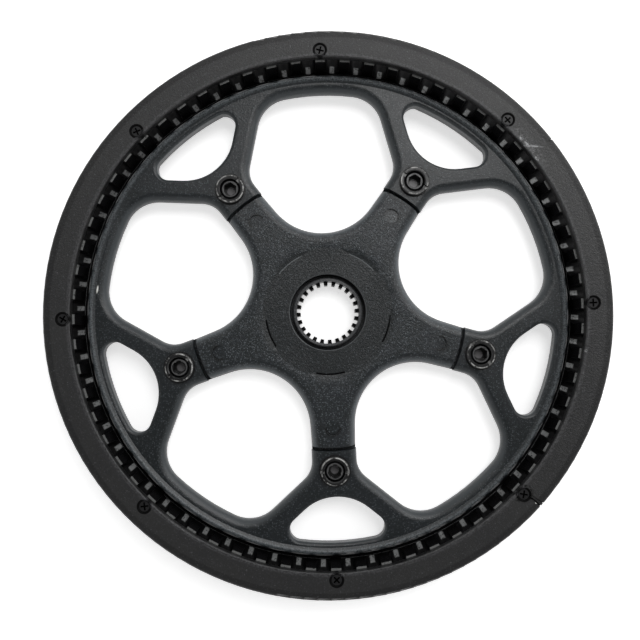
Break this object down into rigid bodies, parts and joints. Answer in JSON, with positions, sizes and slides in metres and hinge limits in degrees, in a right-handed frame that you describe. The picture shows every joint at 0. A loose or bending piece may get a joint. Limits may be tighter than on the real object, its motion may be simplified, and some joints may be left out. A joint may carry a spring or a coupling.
{
  "type": "bicycle belt sprocket",
  "caption": "Black round bicycle belt sprocket with a screwed guard ring, forked tabs bolted to a spider, and a splined sleeve that takes the crank; the guard is cracked.",
  "frame": {"origin": "on the sprocket's axis, in the plane of the back flange that it lies on", "axes": "+Z along the axis to the guard, +X and +Y to the right and to the top as it is seen from the guard"},
  "size_m": [0.228, 0.228, 0.019],
  "materials": {
    "cast_black": "die casting with a satin black coating, fine speckle",
    "guard_black": "moulded black plastic, satin, scuffed",
    "spider_black": "satin black coating, fine sparkle",
    "sleeve_steel": "dark steel, turned and broached",
    "bolt_black": "black-coated steel, worn at the edges",
    "screw_black": "black-coated steel"
  },
  "bodies": {
    "root": {"sprocket_ring": "cast_black", "guard_ring": "guard_black", "spider": "spider_black", "splined_sleeve": "sleeve_steel", "chainring_nut_1": "bolt_black", "chainring_nut_2": "bolt_black", "chainring_nut_3": "bolt_black", "chainring_nut_4": "bolt_black", "chainring_nut_5": "bolt_black", "chainring_bolt_1": "bolt_black", "chainring_bolt_2": "bolt_black", "chainring_bolt_3": "bolt_black", "chainring_bolt_4": "bolt_black", "chainring_bolt_5": "bolt_black", "guard_screw_1": "screw_black", "guard_screw_2": "screw_black", "guard_screw_3": "screw_black", "guard_screw_4": "screw_black", "guard_screw_5": "screw_black", "guard_screw_6": "screw_black", "guard_screw_7": "screw_black", "guard_screw_8": "screw_black"}
  },
  "joints": []
}
